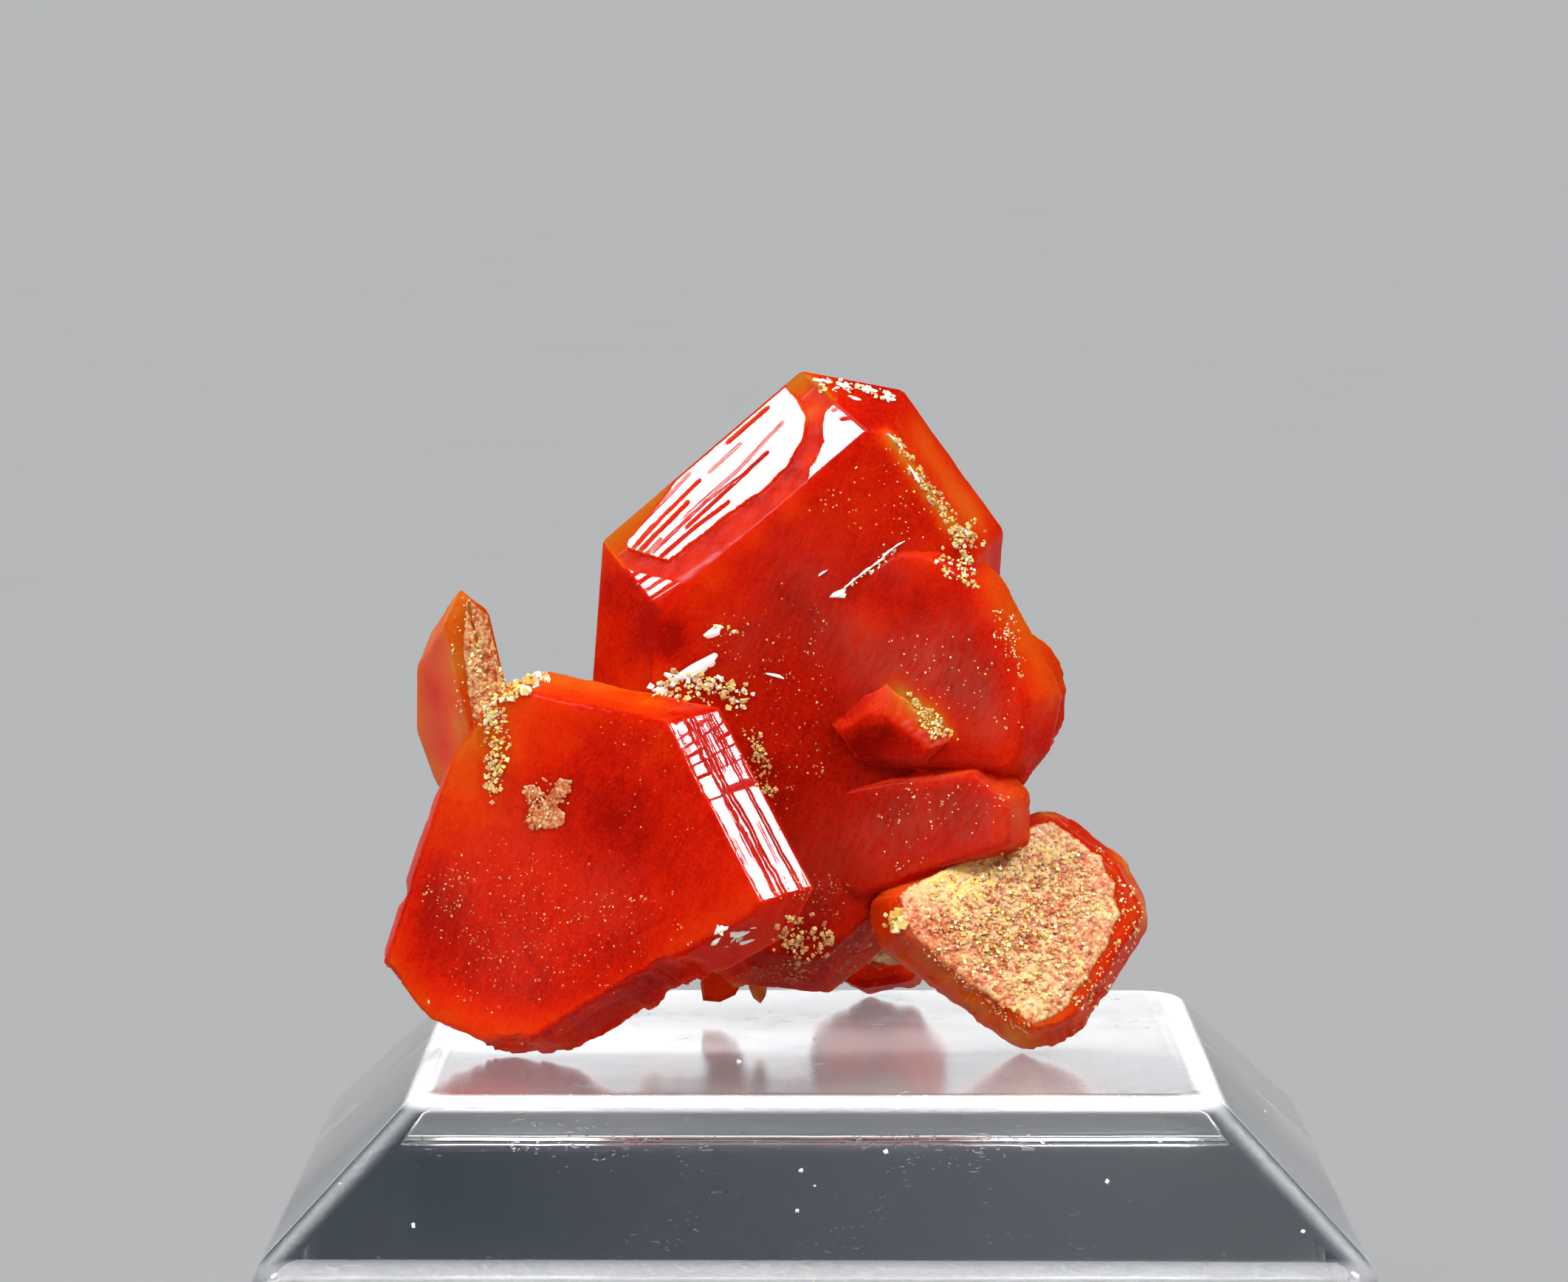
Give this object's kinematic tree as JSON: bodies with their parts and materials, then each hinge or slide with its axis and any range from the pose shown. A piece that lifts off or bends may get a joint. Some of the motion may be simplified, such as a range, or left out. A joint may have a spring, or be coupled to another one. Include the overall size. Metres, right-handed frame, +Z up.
{
  "type": "wulfenite on matrix",
  "caption": "Cluster of translucent orange-red tabular wulfenite crystals with tan crust on a clear bevelled acrylic display block.",
  "frame": {"origin": "middle of the acrylic block's underside", "axes": "+Z up, the crystals' large faces towards -Y, +X to the viewer's right"},
  "size_m": [0.0318, 0.0318, 0.0331],
  "materials": {
    "clear_acrylic": "clear cast acrylic, polished, with fine scratches",
    "red_wulfenite": "translucent orange-red crystal, resinous to glassy, finely striated on the bevels",
    "tan_crust": "granular yellow-tan crust, dry and sparkling"
  },
  "bodies": {
    "root": {"acrylic_stand": "clear_acrylic", "main_crystal": "red_wulfenite", "left_crystal": "red_wulfenite", "upper_left_crystal": "red_wulfenite", "right_crystal": "red_wulfenite", "rear_left_crystal": "red_wulfenite", "rear_right_crystal": "red_wulfenite", "matrix": "tan_crust"}
  },
  "joints": []
}
